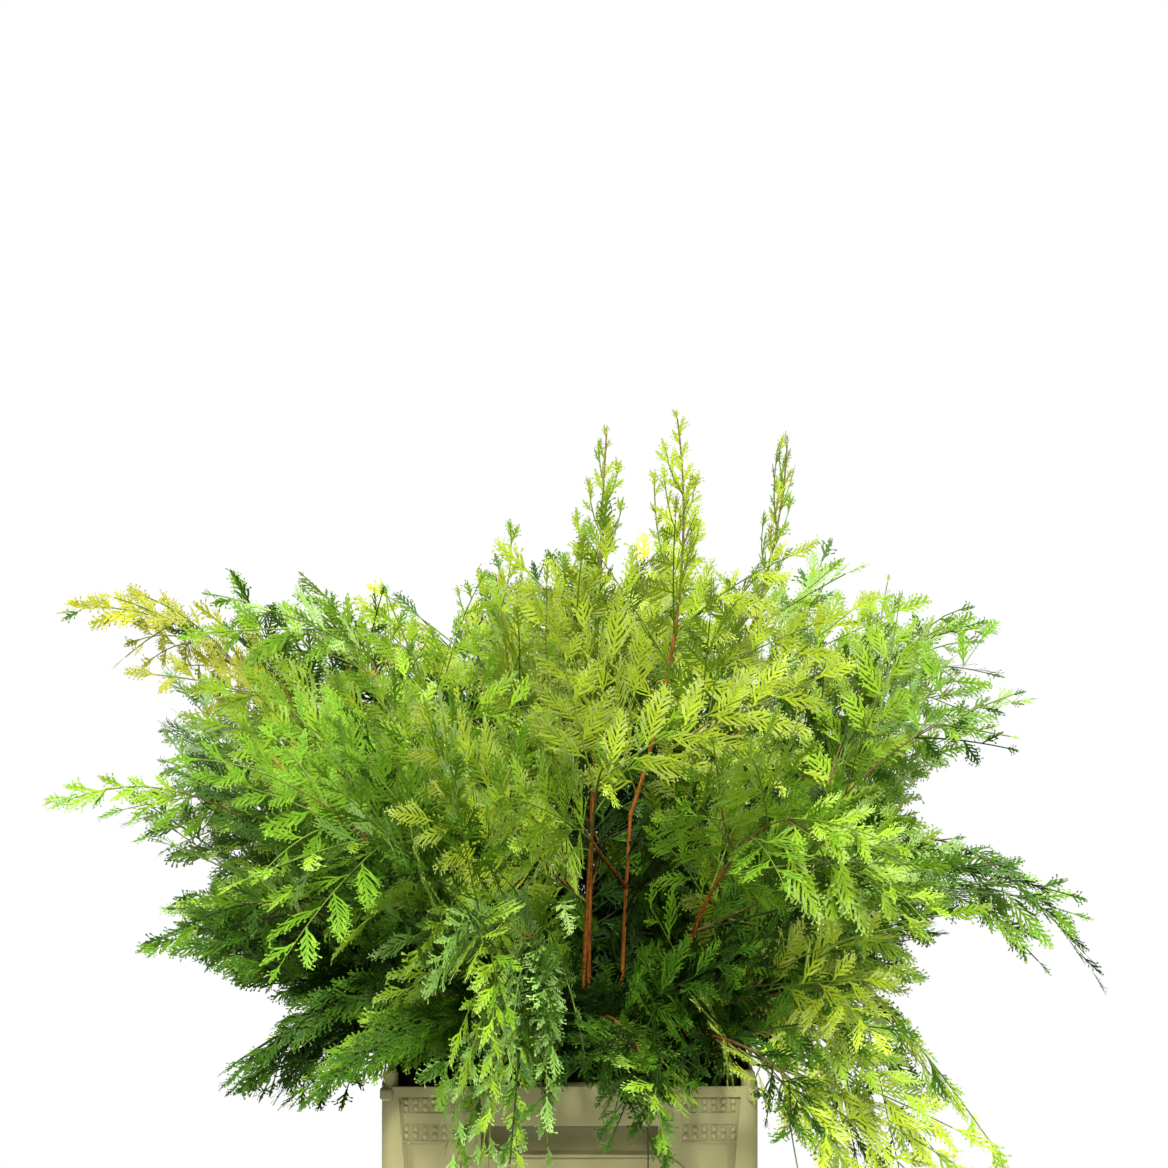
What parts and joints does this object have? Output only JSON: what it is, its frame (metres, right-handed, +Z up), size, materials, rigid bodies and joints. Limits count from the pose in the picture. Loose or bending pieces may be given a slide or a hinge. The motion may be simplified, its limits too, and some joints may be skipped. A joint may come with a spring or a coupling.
{
  "type": "cut hinoki cypress branches in container",
  "caption": "Full bunch of cut golden hinoki cypress branches with flat fern-like sprays, standing in a rectangular cream plastic flower container.",
  "frame": {"origin": "centre of the container's flat underside", "axes": "+Z up; -Y out of the container's short side with the grip that faces the viewer; +X to the viewer's right"},
  "size_m": [0.8934, 0.7574, 0.8694],
  "materials": {
    "container": "cream polypropylene, satin moulded",
    "stem": "thin reddish-brown bark",
    "foliage": "green to golden scale-leaved sprays"
  },
  "bodies": {
    "root": {"container": "container", "foliage_back_crown": "foliage", "foliage_back_left": "foliage", "foliage_back_left_low": "foliage", "foliage_back_mid": "foliage", "foliage_back_right": "foliage", "foliage_back_right_skirt": "foliage", "foliage_back_weep": "foliage", "foliage_crown_left": "foliage", "foliage_front_left": "foliage", "foliage_front_left_upper": "foliage", "foliage_front_mid": "foliage", "foliage_front_right": "foliage", "foliage_front_skirt": "foliage", "foliage_front_weep": "foliage", "foliage_gold_left": "foliage", "foliage_gold_left_lower": "foliage", "foliage_heart_back": "foliage", "foliage_heart_front": "foliage", "foliage_heart_left": "foliage", "foliage_left_fan": "foliage", "foliage_left_low": "foliage", "foliage_left_skirt": "foliage", "foliage_left_sprig": "foliage", "foliage_right_crown": "foliage", "foliage_right_droop": "foliage", "foliage_right_low": "foliage", "foliage_right_mid": "foliage", "foliage_right_skirt": "foliage", "foliage_right_tip": "foliage", "foliage_right_upper": "foliage", "foliage_right_weep": "foliage", "foliage_spire_front": "foliage", "foliage_spire_left": "foliage", "foliage_spire_mid": "foliage", "foliage_spire_right": "foliage", "foliage_weep_left": "foliage", "stem_back_crown": "stem", "stem_back_left": "stem", "stem_back_mid": "stem", "stem_back_right": "stem", "stem_back_weep": "stem", "stem_crown_left": "stem", "stem_front_left": "stem", "stem_front_mid": "stem", "stem_front_right": "stem", "stem_front_weep": "stem", "stem_gold_left": "stem", "stem_left_low": "stem", "stem_left_sprig": "stem", "stem_right_crown": "stem", "stem_right_droop": "stem", "stem_right_tip": "stem", "stem_right_weep": "stem", "stem_spire_front": "stem", "stem_spire_left": "stem", "stem_spire_mid": "stem", "stem_spire_right": "stem"}
  },
  "joints": []
}
